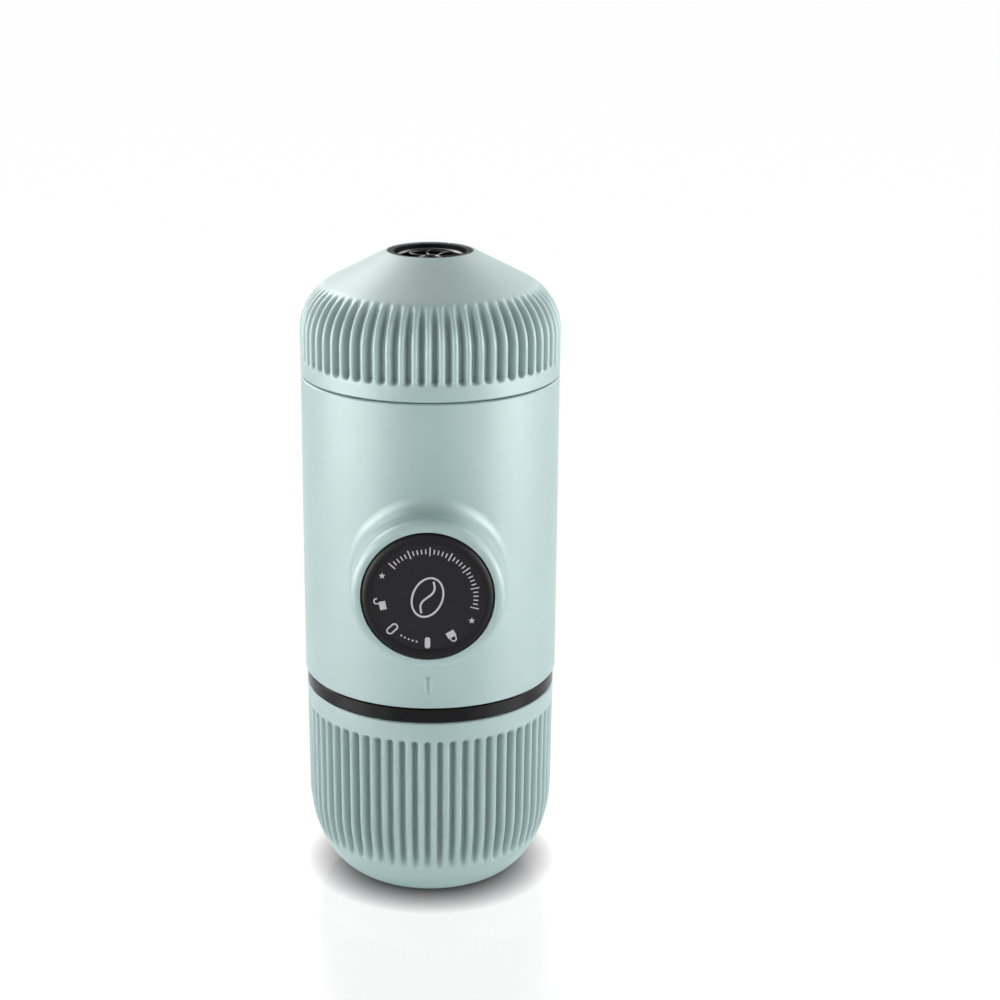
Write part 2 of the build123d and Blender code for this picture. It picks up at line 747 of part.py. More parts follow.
def make_head_shell():
    """Grooved outer shell of the head, straight at the seam and conical to the spout."""
    section = head_section(0) & panel(spout_radius, body_radius, z_seam + seam_gap, z_top)
    section = chamfer(corner_of(section, body_radius, z_seam + seam_gap), edge_break)
    shell = turned(section - head_section(body_wall))
    turn = radians(90 - head_slope) / 2
    bend = head_corner(0) - shoulder_radius * tan(turn)
    fade = z_seam + head_groove_end
    rise = fade - bend
    fade_radius = body_radius - shoulder_radius + sqrt(shoulder_radius**2 - rise**2)
    floor = body_radius - groove_depth
    start = z_seam + head_groove_start
    return shell.cut(*grooves(floor, start, bend, fade_radius, fade, head_groove_phase))


# ---------------------------------------------------------------- files, one for each piece
pieces = {
    "cup": make_cup(),
    "water_tank": make_water_tank(),
    "cup_o_ring": make_cup_o_ring(),
    "tank_gasket": make_tank_gasket(),
    "suction_tube": make_suction_tube(),
    "intake_strainer": make_intake_strainer(),
    "tank_socket": make_tank_socket(),
    "air_vent_valve": make_air_vent_valve(),
    "chassis_screws": make_chassis_screws(),
    "body_shell": make_body_shell(),
    "pump_chassis": make_pump_chassis(),
    "pump_cylinder": make_pump_cylinder(),
    "cylinder_gland": make_cylinder_gland(),
    "piston_rod": make_piston_rod(),
    "piston_seals": make_piston_seals(),
    "return_spring": make_return_spring(),
    "knob_clip": make_knob_clip(),
    "knob_skirt": make_knob_skirt(),
    "knob_cap": make_knob_cap(),
    "inlet_valve_seat": make_valve_seat(z_inlet),
    "inlet_valve_poppet": make_valve_poppet(z_inlet),
    "inlet_valve_spring": make_valve_spring(z_inlet),
    "outlet_valve_seat": make_valve_seat(z_outlet),
    "outlet_valve_poppet": make_valve_poppet(z_outlet),
    "outlet_valve_spring": make_valve_spring(z_outlet),
    "outlet_spring_retainer": make_outlet_spring_retainer(),
    "shower_screen": make_shower_screen(),
    "screen_screw": make_screen_screw(),
    "shower_seal": make_shower_seal(),
    "scoop": make_scoop(),
    "filter_basket": make_filter_basket(),
    "head_gasket": make_head_gasket(),
    "portafilter": make_portafilter(),
    "spout_insert": make_spout_insert(),
    "head_shell": make_head_shell(),
}

os.makedirs("parts", exist_ok=True)
for name, piece in pieces.items():
    export_step(piece, f"parts/{name}.step")
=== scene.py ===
"""Looks of the handheld espresso maker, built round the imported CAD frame.

Lengths are in millimetres, angles in degrees.
"""

import json
import math

import bmesh
import bpy
import numpy as np
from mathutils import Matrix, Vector


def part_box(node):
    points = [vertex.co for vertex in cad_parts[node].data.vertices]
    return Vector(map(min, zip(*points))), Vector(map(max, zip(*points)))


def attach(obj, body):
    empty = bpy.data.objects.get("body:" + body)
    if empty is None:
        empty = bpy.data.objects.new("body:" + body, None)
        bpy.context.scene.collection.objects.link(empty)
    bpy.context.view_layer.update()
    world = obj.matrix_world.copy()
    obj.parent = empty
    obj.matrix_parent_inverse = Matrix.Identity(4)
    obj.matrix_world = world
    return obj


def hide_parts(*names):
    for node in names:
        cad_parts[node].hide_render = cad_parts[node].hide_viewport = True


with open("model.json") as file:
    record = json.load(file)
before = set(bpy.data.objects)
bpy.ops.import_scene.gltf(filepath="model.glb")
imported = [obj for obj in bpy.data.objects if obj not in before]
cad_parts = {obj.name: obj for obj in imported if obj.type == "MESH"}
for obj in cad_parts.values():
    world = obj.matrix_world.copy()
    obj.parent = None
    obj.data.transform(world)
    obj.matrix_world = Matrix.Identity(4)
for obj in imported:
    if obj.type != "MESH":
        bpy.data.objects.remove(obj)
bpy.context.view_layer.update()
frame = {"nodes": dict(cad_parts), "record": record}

MM = 0.001
NODES = frame["nodes"]


def box(node):
    """(low, high) corners of a CAD node, in millimetres."""
    low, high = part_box(node)
    return low / MM, high / MM


# ---------------------------------------------------------------- sizes, from the frame
CUP_TOP = box("cup")[1].z
SEAM = box("body_shell")[1].z
HEAD_LOW = box("head_shell")[0].z
TOP = box("head_shell")[1].z
BODY_RADIUS = box("head_shell")[1].x
BAND_RADIUS = box("cup")[1].x
BODY_LOW = box("body_shell")[0].z
TANK_FLOOR = box("water_tank")[0].z
NECK_TOP = box("water_tank")[1].z
NECK_RADIUS = box("tank_gasket")[1].x
GROUP_TOP = box("pump_chassis")[1].z
KNOB_REACH = -box("knob_cap")[0].y
KNOB_BACK = -box("knob_cap")[1].y
KNOB_RADIUS = box("knob_cap")[1].x
PUMP_HEIGHT = (box("knob_cap")[0].z + box("knob_cap")[1].z) / 2
SPOUT_FLOOR = box("spout_insert")[0].z
INSERT_HEIGHT = box("spout_insert")[1].z - SPOUT_FLOOR
INSERT_RADIUS = box("spout_insert")[1].x

# ---------------------------------------------------------------- sizes that the frame doesn't name
WALL = 2.0  # of the cup, the head's shell and the tank's neck
EDGE = 0.3  # chamfer beside the shadow lines
SEAT = 0.03  # what seats on a CAD node is drawn this much clear of it
SAME = 0.01  # radii that differ by less are the same
TANK_SIDES, KNOB_SIDES, INSERT_SIDES, HUB_SIDES = 240, 192, 128, 48  # columns of turned pieces

RIBS = 62
RIB_SLOPE = 62.0  # of a groove's flanks
RIB_CREST = 0.72  # radius of a rib's rounded top
RIB_VALLEY = 0.35  # radius of a groove's rounded bottom
RIB_END = 2.0  # height of the close rows that draw a groove's round end
RIB_PAST = 0.2  # the part of them past the end
RIB_ROWS = 0.16  # their step

CUP_CORNER = 22.4  # height of the cup's rounded corner
CUP_BASE = 16.0  # radius of its flat foot
CUP_DRAFT = 0.2  # how far its side leans out on the way to the rim
CUP_RIB_PHASE = -0.4
CUP_RIB_TOP = 4.2  # below the rim
CUP_RIB_LOW = 9.6  # above the floor
CUP_FADE = 0.8  # share of the corner's height where the grooves start to run out
CUP_RUNOUT = 3  # power of the curve that they run out by
CUP_BARE = -40  # angle along the corner up to which the wider rows are enough

HEAD_SLOPE = 27.6  # of the cone
SHOULDER = 12.7  # radius of the bend into the cone
CONE_START = 2.4  # length of the cone's close rows above that bend
SPOUT_RADIUS = 10.1
SPOUT_EDGE = 0.4
HEAD_RIB_PHASE = 2.9
HEAD_RIB_LOW = 3.5  # above the seam
HEAD_RIB_TOP = 21.8  # above the seam
HEAD_RUNOUT = 5  # power of the curve that the grooves run out by

TANK_SIDE = 26.9
TANK_WALL = 1.8
RIM_RADIUS = 27.85  # rim under the band that guides the cup
RIM_LOW = 6.0  # below the band
RIM_SLANT = 0.6
RING_LOW, RING_TOP = 4.0, 2.2  # groove of the cup's ring, below the band
RING_DEPTH = 1.2
GAP = 0.45  # shadow gaps over and under the band
BAND_EDGE_LOW, BAND_EDGE_TOP = 0.15, 0.1  # chamfers of the band
NECK_BORE = NECK_RADIUS - WALL
NECK_EDGE = 0.4
THREAD_STARTS = 3
THREAD_LEAD = 7.5
THREAD_DEPTH = 0.7
THREAD_CREST = 0.16  # half a crest's width, as a share of the space from turn to turn
THREAD_FLANK = 0.12  # a flank's width, as such a share
THREAD_RUNOUT = 0.5  # height over which the thread runs out
THREAD_MARGIN = 1.2  # plain neck over and under the thread

GROUP_RADIUS = 26.7
GROUP_STARTS = 4
GROUP_SWEEP = 0.8  # how far a turn goes round, as a share of the way to the next one's start
GROUP_FIRST = 2.0  # where a turn starts, below the neck's top
GROUP_DROP = 3.0  # how far it comes down
GROUP_HALF = 0.75  # half its height
GROUP_SUNK, GROUP_PROUD = 0.3, 0.13  # its section, in and out of the neck's side
# At both ends a turn grows from this share of its height, so many times as fast as its length.
GROUP_TIP, GROUP_TAPER = 0.1, 8

KNOB_ROLL = 1.4  # width of the rim's rolled edge
KNOB_ROLL_DROP = 1.2
KNOB_RIM = 2.2  # width of the rim, with its roll
KNOB_DISH = 0.25  # the dial lies inside its rim by this
KNOB_STEP = 0.15  # rounded edge between the rim and the dial
KNOB_BEVEL = 0.3  # chamfer at the back
KNOB_WALL = 1.35
KNOB_CROWN = 1.5
DIAL_FACING = 0.99  # how squarely a face of the dial looks to the front
DIAL_NEAR = 0.1  # and how close it is to the dial's reach

PRINT = 0.03  # how far the dial's marks stand up
DIAL_RING = 10.9  # radius of the ring that they stand on
DIAL_STEP = 5  # between the dots, and between the lines of the scale
LOCKED = 180  # places of the lock, clockwise from the top
OPENED, OPENED_RING = 226.6, 11.0
LOCKED_PILL = (1.25, 2.7)  # width and height
OPENED_OUTER, OPENED_INNER = (1.75, 3.1), (1.05, 2.4)
DOTS, DOTS_START, DOT_RADIUS = 5, 213, 0.23  # from one place to the other
SCALE_LINES, SCALE_START = 31, -47
SCALE_LONG, SCALE_SHORT, SCALE_WIDTH = 2.0, 1.1, 0.26
SCALE_MAJOR = 5  # every fifth line is a long one
STARS = ((-10.2, 5.1), (10.0, -5.5))
STAR_RADII = (0.78, 0.34)
PADLOCKS = ((259, True), (149, False))  # place clockwise from the top, and whether it is open
LOCK_SIDE, LOCK_LOW, LOCK_TOP = 1.0, -1.35, 0.15  # a padlock's case
ARCH_RADIUS, ARCH_HEIGHT, ARCH_WIDTH = 0.62, 0.55, 0.3
ARCH_FOOT, ARCH_LIFTED = 0.1, 0.35  # where its ends stand, in the case and out of it
BEAN_OUTER, BEAN_INNER = (3.6, 5.0), (3.15, 4.55)  # half its width and half its length
BEAN_TILT = -20
CREASE_WAVE, CREASE_HALF, CREASE_WIDTH = 0.85, 4.0, 0.45

INSERT_WALL = 1.4
HUB_INNER = 1.8
HUB_OUTER = 2.8
FINS = 8
FIN_HEIGHT = 2.0
FIN_WIDTH = 0.5
FIN_BOW = 0.9
FIN_RISE = 0.4  # share of the ring's further height that a fin reaches at its tip

# ---------------------------------------------------------------- stage and light
FLOOR_SIZE = 6  # metres
FLOOR_WHITE = 0.95
FLOOR_ROUGHNESS = 0.6
FLOOR_PAINTED_SHADOW = 8.2  # how far the painted shadow reaches
FLOOR_DEPTH = 1.3  # gamma that deepens it
FLOOR_SAMPLES = 16
FLOOR_GLOSS = 0.12
FLOOR_GLOSS_ROUGHNESS = 0.2
SKY_LEVEL, SKY_LOW, SKY_HIGH = 1.15, 52, 68  # it grows between two elevations
# A lamp's name, azimuth, elevation, distance, size and radiance. Fills light the object, and
# gleams only show in its reflections.
FILLS = (
    ("fill_left", -55, 4, 600, (400, 500), 1.95),
    ("fill_right", 55, 4, 600, (400, 500), 2.25),
    ("fill_back_left", -130, 20, 600, (400, 500), 1.4),
    ("fill_back_right", 130, 20, 600, (400, 500), 1.4),
)
GLEAMS = (
    ("gleam_left", -62, 0, 600, (600, 500), 7.0),
    ("gleam_right", 64, 0, 600, (600, 500), 5.0),
    ("strip_left", -76, 0, 600, (420, 500), 8.5),
    ("strip_right", 78, 0, 600, (420, 500), 9.5),
    ("back_left", -125, 40, 700, (400, 400), 11.0),
    ("back_right", 122, 40, 700, (400, 400), 5.0),
    ("rim_left", -155, 42, 700, (400, 400), 3.0),
    ("rim_right", 148, 35, 700, (400, 400), 2.0),
)

# ---------------------------------------------------------------- camera, fitted to the photograph
CAMERA_DISTANCE = 485.4
CAMERA_HEIGHT = 246.7
CAMERA_TILT = 72.62
CAMERA_TURN = 0.9  # round the object
CAMERA_LENS = 75.74
CAMERA_SHIFT = 0.0697
CAMERA_SENSOR = 36.0


# ---------------------------------------------------------------- materials
NOISE_SPAN = (0.3, 0.7)  # most of a noise's values lie in it
HOLLOW_SAMPLES = 8
SMOOTHEST = 0.02  # least roughness
LATHE_SPREAD, LATHE_DEPTH = 0.08, 0.01  # of a lathe's rings, in roughness and in bump


class Surface:
    """Node material of one moulded, turned or drawn surface. Its nodes read object coordinates."""

    def __init__(self, name, colour, roughness, metallic=0.0, specular=0.5):
        self.material = bpy.data.materials.new(name)
        self.material.use_nodes = True
        self.tree = self.material.node_tree
        self.shader = self.tree.nodes["Principled BSDF"]
        self.colour = linear(colour)
        self.roughness = roughness
        self.shader.inputs["Base Color"].default_value = (*self.colour, 1)
        self.shader.inputs["Roughness"].default_value = roughness
        self.shader.inputs["Metallic"].default_value = metallic
        self.shader.inputs["Specular IOR Level"].default_value = specular
        self.place = self.tree.nodes.new("ShaderNodeTexCoord").outputs["Object"]

    def node(self, kind, **values):
        """New node with some of its inputs or properties set."""
        made = self.tree.nodes.new(kind)
        for key, value in values.items():
            if key in made.inputs:
                made.inputs[key].default_value = value
            else:
                setattr(made, key, value)
        return made

    def link(self, start, end):
        """Joins an output to an input."""
        self.tree.links.new(start, end)

    def noise(self, size, detail=2.0, place=None):
        """Noise whose spots are about size millimetres across, as a value from 0 to 1."""
        noise = self.node("ShaderNodeTexNoise", Scale=1 / (size * MM), Detail=detail)
        self.link(place or self.place, noise.inputs["Vector"])
        return noise.outputs["Fac"]

    def mottle(self, share, size=9.0):
        """Lets the colour drift lighter and darker by a share."""
        ramp = self.node("ShaderNodeValToRGB")
        low, high = ramp.color_ramp.elements
        low.position, high.position = NOISE_SPAN
        low.color = (*[c * (1 - share) for c in self.colour], 1)
        high.color = (*[min(c * (1 + share), 1) for c in self.colour], 1)
        self.link(self.noise(size, 4.0), ramp.inputs["Fac"])
        self.link(ramp.outputs["Color"], self.shader.inputs["Base Color"])
        return self

    def paint_hollow_shade(self, reach, share):
        """Paints shade into the colour: darker by a share in hollows that are narrower than a
        reach.
        """
        hollow = self.node("ShaderNodeAmbientOcclusion", Distance=reach * MM, only_local=True)
        hollow.samples = HOLLOW_SAMPLES
        mix = self.node("ShaderNodeMix", data_type="RGBA")
        mix.inputs["A"].default_value = (*[c * (1 - share) for c in self.colour], 1)
        colour = self.shader.inputs["Base Color"]
        self.link(hollow.outputs["AO"], mix.inputs["Factor"])
        self.link(colour.links[0].from_socket, mix.inputs["B"])
        self.link(mix.outputs["Result"], colour)
        return self

    def sheen_spots(self, spread, size=6.0, place=None):
        """Lets the roughness drift by a spread."""
        span = self.node("ShaderNodeMapRange")
        span.inputs["From Min"].default_value = NOISE_SPAN[0]
        span.inputs["From Max"].default_value = NOISE_SPAN[1]
        span.inputs["To Min"].default_value = max(self.roughness - spread, SMOOTHEST)
        span.inputs["To Max"].default_value = min(self.roughness + spread, 1.0)
        self.link(self.noise(size, 3.0, place), span.inputs["Value"])
        self.link(span.outputs["Result"], self.shader.inputs["Roughness"])
        return self

    def bump(self, height, strength, distance):
        """Bump of a value from 0 to 1 over a distance."""
        bump = self.node("ShaderNodeBump", Strength=strength, Distance=distance * MM)
        self.link(height, bump.inputs["Height"])
        self.link(bump.outputs["Normal"], self.shader.inputs["Normal"])
        return self

    def grain(self, size=0.25, strength=0.25, distance=0.01):
        """Fine grain of a moulding."""
        return self.bump(self.noise(size), strength, distance)

    def turned(self, strength=0.3, pitch=0.35, axis="Z", centre=(0, 0, 0)):
        """Fine rings left by a lathe round an axis, in bump and in roughness."""
        moved = self.node("ShaderNodeVectorMath", operation="SUBTRACT")
        moved.inputs[1].default_value = [c * MM for c in centre]
        parts = self.node("ShaderNodeSeparateXYZ")
        across = self.node("ShaderNodeCombineXYZ")
        radius = self.node("ShaderNodeVectorMath", operation="LENGTH")
        rings = self.node("ShaderNodeCombineXYZ")
        self.link(self.place, moved.inputs[0])
        self.link(moved.outputs["Vector"], parts.inputs["Vector"])
        for other in "XYZ".replace(axis, ""):
            self.link(parts.outputs[other], across.inputs[other])
        self.link(across.outputs["Vector"], radius.inputs["Vector"])
        self.link(radius.outputs["Value"], rings.inputs["X"])
        self.link(parts.outputs[axis], rings.inputs["Y"])
        self.sheen_spots(LATHE_SPREAD, pitch, rings.outputs["Vector"])
        return self.bump(self.noise(pitch, place=rings.outputs["Vector"]), strength, LATHE_DEPTH)


def linear(colour):
    """Linear values of a colour written as 0 to 255 sRGB."""
    return [(c / 255 / 12.92) if c <= 10 else ((c / 255 + 0.055) / 1.055) ** 2.4 for c in colour]


ON_PUMP = {"axis": "Y", "centre": (0, 0, PUMP_HEIGHT)}
mint = Surface("mint", (165, 191, 189), 0.5, specular=0.7)
# The mint's grooves and other narrow hollows get painted shade.
mint.mottle(0.015).paint_hollow_shade(1.7, 0.72).sheen_spots(0.03).grain(0.3, 0.15)
band_grey = Surface("band_grey", (12, 12, 15), 0.22, specular=0.15)
band_grey.mottle(0.05).sheen_spots(0.05).grain(0.25, 0.3)
inner_black = Surface("inner_black", (18, 18, 20), 0.5, specular=0.06)
inner_black.mottle(0.08).sheen_spots(0.05).grain(0.35, 0.6, 0.02)
silicone = Surface("silicone", (196, 198, 197), 0.55)
silicone.mottle(0.04).sheen_spots(0.06).grain(0.2, 0.3)
seal_rubber = Surface("seal_rubber", (30, 30, 31), 0.6)
seal_rubber.mottle(0.1).sheen_spots(0.06).grain(0.2, 0.4)
tube_clear = Surface("tube_clear", (222, 226, 228), 0.3)
tube_clear.mottle(0.02).sheen_spots(0.05).grain(0.5, 0.2)
acetal = Surface("acetal", (232, 231, 226), 0.35)
acetal.mottle(0.02).sheen_spots(0.05).grain(0.3, 0.2)
screw_steel = Surface("screw_steel", (200, 202, 205), 0.3, 1.0)
screw_steel.mottle(0.05, 1.5).turned(0.2, 0.2)
cylinder_steel = Surface("cylinder_steel", (205, 205, 206), 0.25, 1.0)
cylinder_steel.mottle(0.04, 3.0).turned(0.2, 0.2, **ON_PUMP)
spring_steel = Surface("spring_steel", (190, 192, 195), 0.28, 1.0)
spring_steel.mottle(0.08, 1.0).sheen_spots(0.08, 1.0).grain(0.1, 0.3)
basket_steel = Surface("basket_steel", (180, 180, 178), 0.3, 1.0)
basket_steel.mottle(0.04, 4.0).turned(0.25, 0.25)
knob_satin = Surface("knob_satin", (28, 27, 32), 0.5, specular=0.15)
knob_satin.mottle(0.05, 5.0).sheen_spots(0.04).grain(0.2, 0.25)
# The rim's darker colour is partly its own blacker finish and partly painted shade on its rolled
# edge.
knob_rim = Surface("knob_rim", (15, 14, 17), 0.5, specular=0.15)
knob_rim.mottle(0.05, 5.0).sheen_spots(0.03).grain(0.4, 0.05)
spout_black = Surface("spout_black", (9, 9, 10), 0.22, specular=0.3)
spout_black.mottle(0.08, 3.0).sheen_spots(0.04).grain(0.4, 0.08)
scoop_black = Surface("scoop_black", (36, 36, 38), 0.45)
scoop_black.mottle(0.06).sheen_spots(0.05).grain(0.35, 0.5, 0.02)
ink = Surface("ink", (196, 194, 198), 0.5)
ink.mottle(0.04, 0.6).sheen_spots(0.05, 1.0).grain(0.1, 0.2)

FINISHES = {
    "cup_mint": mint,
    "shell_mint": mint,
    "head_mint": mint,
    "tank_grey": band_grey,
    "silicone": silicone,
    "tube_clear": tube_clear,
    "inner_black": inner_black,
    "screw_steel": screw_steel,
    "cylinder_steel": cylinder_steel,
    "acetal": acetal,
    "seal_rubber": seal_rubber,
    "spring_steel": spring_steel,
    "knob_black": knob_rim,
    "basket_steel": basket_steel,
    "scoop_black": scoop_black,
    "spout_black": inner_black,
}


# ---------------------------------------------------------------- mesh helpers
WELD = 1e-7  # metres; points this close become one
TINY = 1e-9  # least length that a normal is divided by


class Form:
    """Closed forms that are gathered into one mesh object."""

    def __init__(self):
        self.points = []
        self.faces = []
        self.count = 0

    def skin(self, grid, ring=False):
        """Adds a skin over a grid of points whose rows are closed loops.

        The rows close on themselves as a ring, or the first and the last are capped.
        """
        rows, columns = grid.shape[:2]
        spans = rows if ring else rows - 1
        row, column = np.meshgrid(np.arange(spans), np.arange(columns), indexing="ij")
        here, after = row * columns, (row + 1) % rows * columns
        beside = (column + 1) % columns
        corners = [here + column, here + beside, after + beside, after + column]
        self.faces += (np.stack(corners, -1).reshape(-1, 4) + self.count).tolist()
        if not ring:
            last = self.count + (rows - 1) * columns
            self.faces.append(list(range(self.count + columns - 1, self.count - 1, -1)))
            self.faces.append(list(range(last, last + columns)))
        self.points.append(grid.reshape(-1, 3))
        self.count += rows * columns
        return self

    def finish(self, name, *materials, smooth=35.0, weld=False):
        """Mesh object of all that was added."""
        mesh = bpy.data.meshes.new(name)
        mesh.from_pydata((np.concatenate(self.points) * MM).tolist(), [], self.faces)
        if weld:
            edit = bmesh.new()
            edit.from_mesh(mesh)
            bmesh.ops.remove_doubles(edit, verts=edit.verts, dist=WELD)
            edit.to_mesh(mesh)
            edit.free()
        mesh.polygons.foreach_set("use_smooth", np.ones(len(mesh.polygons), bool))
        mesh.set_sharp_from_angle(angle=math.radians(smooth))
        for surface in materials:
            mesh.materials.append(surface.material)
        made = bpy.data.objects.new(name, mesh)
        bpy.context.scene.collection.objects.link(made)
        return made


def line(start, end, step):
    """Points from start up to, but not at, end, about a step apart."""
    start, end = np.array(start, float), np.array(end, float)
    count = max(1, round(float(np.linalg.norm(end - start)) / step))
    return start + (end - start) * (np.arange(count) / count)[:, None]


def straight(*corners):
    """Points along straight runs between corners, without the last corner.

    A corner is (radius, height, step to the next corner).
    """
    return np.concatenate([line(a[:2], b[:2], a[2]) for a, b in zip(corners, corners[1:])])


def arc(centre, radii, first, last, step):
    """Points along an elliptical arc between two angles, without the last."""
    length = math.radians(abs(last - first)) * sum(radii) / 2
    count = max(2, round(length / step))
    angles = np.radians(first + (last - first) * np.arange(count) / count)
    return np.array(centre) + np.stack([radii[0] * np.cos(angles), radii[1] * np.sin(angles)], 1)


def even(count):
    """Angles of a number of equal steps round an axis."""
    return np.arange(count) * 2 * math.pi / count


def turn(outline, angles, cut=None):
    """Points of a closed outline of (radius, height) turned about Z, cut into along its normal."""
    outline = np.asarray(outline, float)
    ahead = np.roll(outline, -1, 0) - np.roll(outline, 1, 0)
    normal = np.stack([ahead[:, 1], -ahead[:, 0]], 1)
    normal /= np.maximum(np.linalg.norm(normal, axis=1), TINY)[:, None]
    depth = np.zeros((len(outline), len(angles))) if cut is None else cut(outline, angles)
    radius = outline[:, :1] - normal[:, :1] * depth
    height = outline[:, 1:] - normal[:, 1:] * depth
    return np.stack([radius * np.cos(angles), radius * np.sin(angles), height], -1)


def on_pump(points):
    """Carries points drawn about Z onto the pump's axis. Their Z becomes the reach to the front."""
    x, y, z = np.moveaxis(np.asarray(points, float), -1, 0)
    return np.stack([x, -z, y + PUMP_HEIGHT], -1)


def dress(made, body, slot, *nodes):
    """Puts a piece on its body and hides the CAD nodes that it stands for. The slot is not used."""
    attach(made, body)
    if nodes:
        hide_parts(*nodes)


# ---------------------------------------------------------------- grip
def along(outline):
    """Length along an outline up to each of its points."""
    steps = np.linalg.norm(np.diff(outline, axis=0), axis=1)
    return np.concatenate([[0], np.cumsum(steps)])


def groove_depth(across, half):
    """Depth of a groove: a rounded bottom, straight flanks, and rounded ribs half a pitch away."""
    slope = math.radians(RIB_SLOPE)
    bottom = RIB_VALLEY * math.sin(slope)
    top = half - RIB_CREST * math.sin(slope)
    crest = RIB_CREST - np.sqrt(RIB_CREST**2 - np.clip(half - across, 0, half - top) ** 2)
    flank = np.clip(top - across, 0, top - bottom) * math.tan(slope)
    valley = np.sqrt(RIB_VALLEY**2 - np.clip(across, 0, bottom) ** 2) - RIB_VALLEY * math.cos(slope)
    return crest + flank + valley


def rib_angles(radius, phase):
    """Angles round the ribs, closer together where a groove's section bends."""
    half = math.pi * radius / RIBS
    slope = math.radians(RIB_SLOPE)
    bottom = RIB_VALLEY * np.sin(np.linspace(0, slope, 4))
    top = half - RIB_CREST * np.sin(np.linspace(slope, 0, 6))
    side = np.concatenate([bottom, top]) / radius
    one = np.concatenate([side[:-1], -side[:0:-1]])
    starts = math.radians(phase - 90) + even(RIBS)
    return (starts[:, None] + np.sort(one)[None, :]).ravel()


def ribs(rows, low, high, shallow, phase):
    """Cut for the grip's grooves on the first rows of an outline, between two heights.

    shallow gives how much of the depth is missing at each point of the outline.
    """

    def cut(outline, angles):
        length = along(outline)
        ends = np.interp([low, high], outline[:rows, 1], length[:rows])
        widest = outline[:rows, 0].max()
        half = math.pi * widest / RIBS
        scale = np.maximum(outline[:, :1], 1) / widest
        pitch = 2 * math.pi / RIBS
        offset = (angles - math.radians(phase - 90) + pitch / 2) % pitch - pitch / 2
        past = np.maximum(np.maximum(ends[0] + half - length, length - ends[1] + half), 0)
        across = np.hypot(widest * offset, past[:, None] / scale)
        depth = groove_depth(across, half) * scale * (1 - shallow(outline))[:, None]
        depth[rows:] = 0
        return depth

    return cut


# ---------------------------------------------------------------- head
def head_outline():
    """Outline of the head's shell, up its outside and down its inside.

    It comes with the number of rows outside, and the height where the shoulder starts to bend.
    """
    slope = math.radians(HEAD_SLOPE)
    bend = math.radians(90 - HEAD_SLOPE)

    def shoulder(depth):
        """Centre, radius and upper end of the shoulder's arc at a depth under the outside."""
        radius = SHOULDER - depth
        fall = (BODY_RADIUS - depth - SPOUT_RADIUS) * math.tan(slope)
        corner = TOP - fall - depth / math.cos(slope)
        x, z = BODY_RADIUS - depth - radius, corner - radius * math.tan(bend / 2)
        return (x, z), radius, (x + radius * math.cos(bend), z + radius * math.sin(bend))

    centre, radius, tangent = shoulder(0)
    inner_centre, inner, inner_tangent = shoulder(WALL)
    ends = SEAM + HEAD_RIB_LOW - RIB_PAST
    plain = (tangent[0] - CONE_START * math.cos(slope), tangent[1] + CONE_START * math.sin(slope))
    rim = (SPOUT_RADIUS + SPOUT_EDGE * math.cos(slope), TOP - SPOUT_EDGE * math.sin(slope))
    outside = [
        straight(
            (BODY_RADIUS - EDGE, HEAD_LOW, 0.2),
            (BODY_RADIUS, HEAD_LOW + EDGE, 1.4),
            (BODY_RADIUS, ends, RIB_ROWS),
            (BODY_RADIUS, ends + RIB_END, 1.4),
            (BODY_RADIUS, centre[1]),
        ),
        arc(centre, (radius, radius), 0, math.degrees(bend), 0.45),
        straight((*tangent, 0.4), (*plain, 1.6), rim),
    ]
    inside = [
        straight(
            (*rim, 0.15),
            (SPOUT_RADIUS + SPOUT_EDGE / 4, TOP - SPOUT_EDGE / 4, 0.15),
            (SPOUT_RADIUS, TOP - SPOUT_EDGE, 1.0),
            (SPOUT_RADIUS, TOP - WALL / math.cos(slope), 4.0),
            inner_tangent,
        ),
        arc(inner_centre, (inner, inner), math.degrees(bend), 0, 2.0),
        straight(
            (BODY_RADIUS - WALL, inner_centre[1], 4.0),
            (BODY_RADIUS - WALL, HEAD_LOW, 1.0),
            (BODY_RADIUS - EDGE, HEAD_LOW),
        ),
    ]
    return np.concatenate(outside + inside), sum(map(len, outside)), centre[1]


def make_head_shell():
    """Ribbed shell of the head, whose grooves run out on the shoulder."""
    outline, rows, bend = head_outline()
    high = SEAM + HEAD_RIB_TOP

    def shallow(points):
        return np.clip((points[:, 1] - bend) / (high - bend), 0, 1) ** HEAD_RUNOUT

    cut = ribs(rows, SEAM + HEAD_RIB_LOW, high, shallow, HEAD_RIB_PHASE)
    grid = turn(outline, rib_angles(BODY_RADIUS, HEAD_RIB_PHASE), cut)
    shell = Form().skin(grid, ring=True).finish("head_ribs", mint)
    dress(shell, "head", "head_mint", "head_shell")


